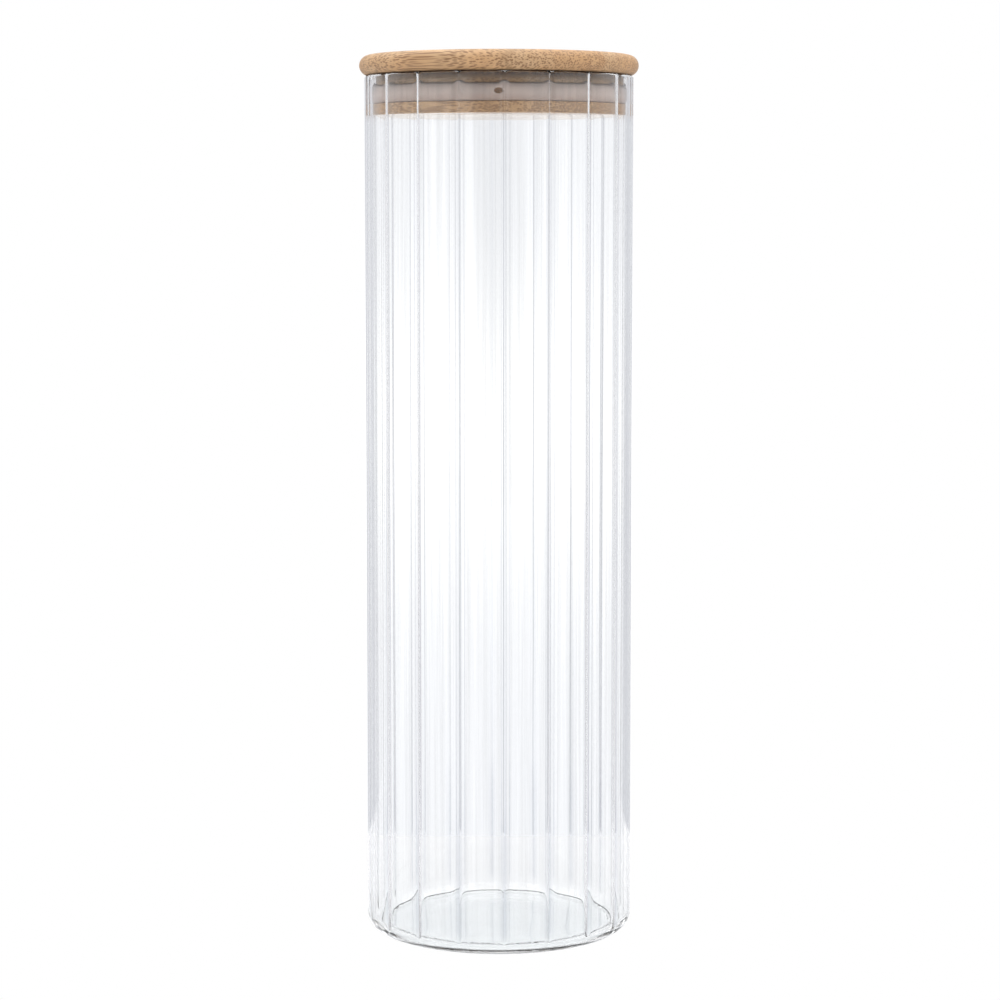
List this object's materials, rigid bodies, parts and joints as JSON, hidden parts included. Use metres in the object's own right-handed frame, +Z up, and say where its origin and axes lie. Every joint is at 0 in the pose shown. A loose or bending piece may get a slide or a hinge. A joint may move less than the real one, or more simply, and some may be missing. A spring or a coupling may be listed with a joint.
{
  "type": "glass storage jar",
  "caption": "Tall straight glass storage jar, ribbed inside, with a round bamboo plug lid sealed by a silicone ring.",
  "frame": {"origin": "centre of the base, on the surface the jar stands on", "axes": "+Z up along the jar's axis; -Y is the front, where the small hole of the sealing ring is"},
  "size_m": [0.1036, 0.1036, 0.3286],
  "materials": {
    "clear_glass": "clear, polished",
    "silicone": "matte, slightly translucent",
    "bamboo": "fine sanded, oiled"
  },
  "bodies": {
    "jar": {"glass_jar": "clear_glass"},
    "seal": {"silicone_seal": "silicone"},
    "lid": {"cap_strip_1": "bamboo", "cap_strip_2": "bamboo", "cap_strip_3": "bamboo", "cap_strip_4": "bamboo", "cap_strip_5": "bamboo", "plug_strip_1": "bamboo", "plug_strip_2": "bamboo", "plug_strip_3": "bamboo", "plug_strip_4": "bamboo", "plug_strip_5": "bamboo"}
  },
  "joints": [
    {"name": "lid_lift", "type": "slide", "parent": "jar", "child": "seal", "axis": [0, 0, 1], "range_m": [0, 0.12]},
    {"name": "lid_turn", "type": "hinge", "parent": "seal", "child": "lid", "pos_m": [0, 0, 0.321], "axis": [0, 0, 1], "continuous": true}
  ]
}
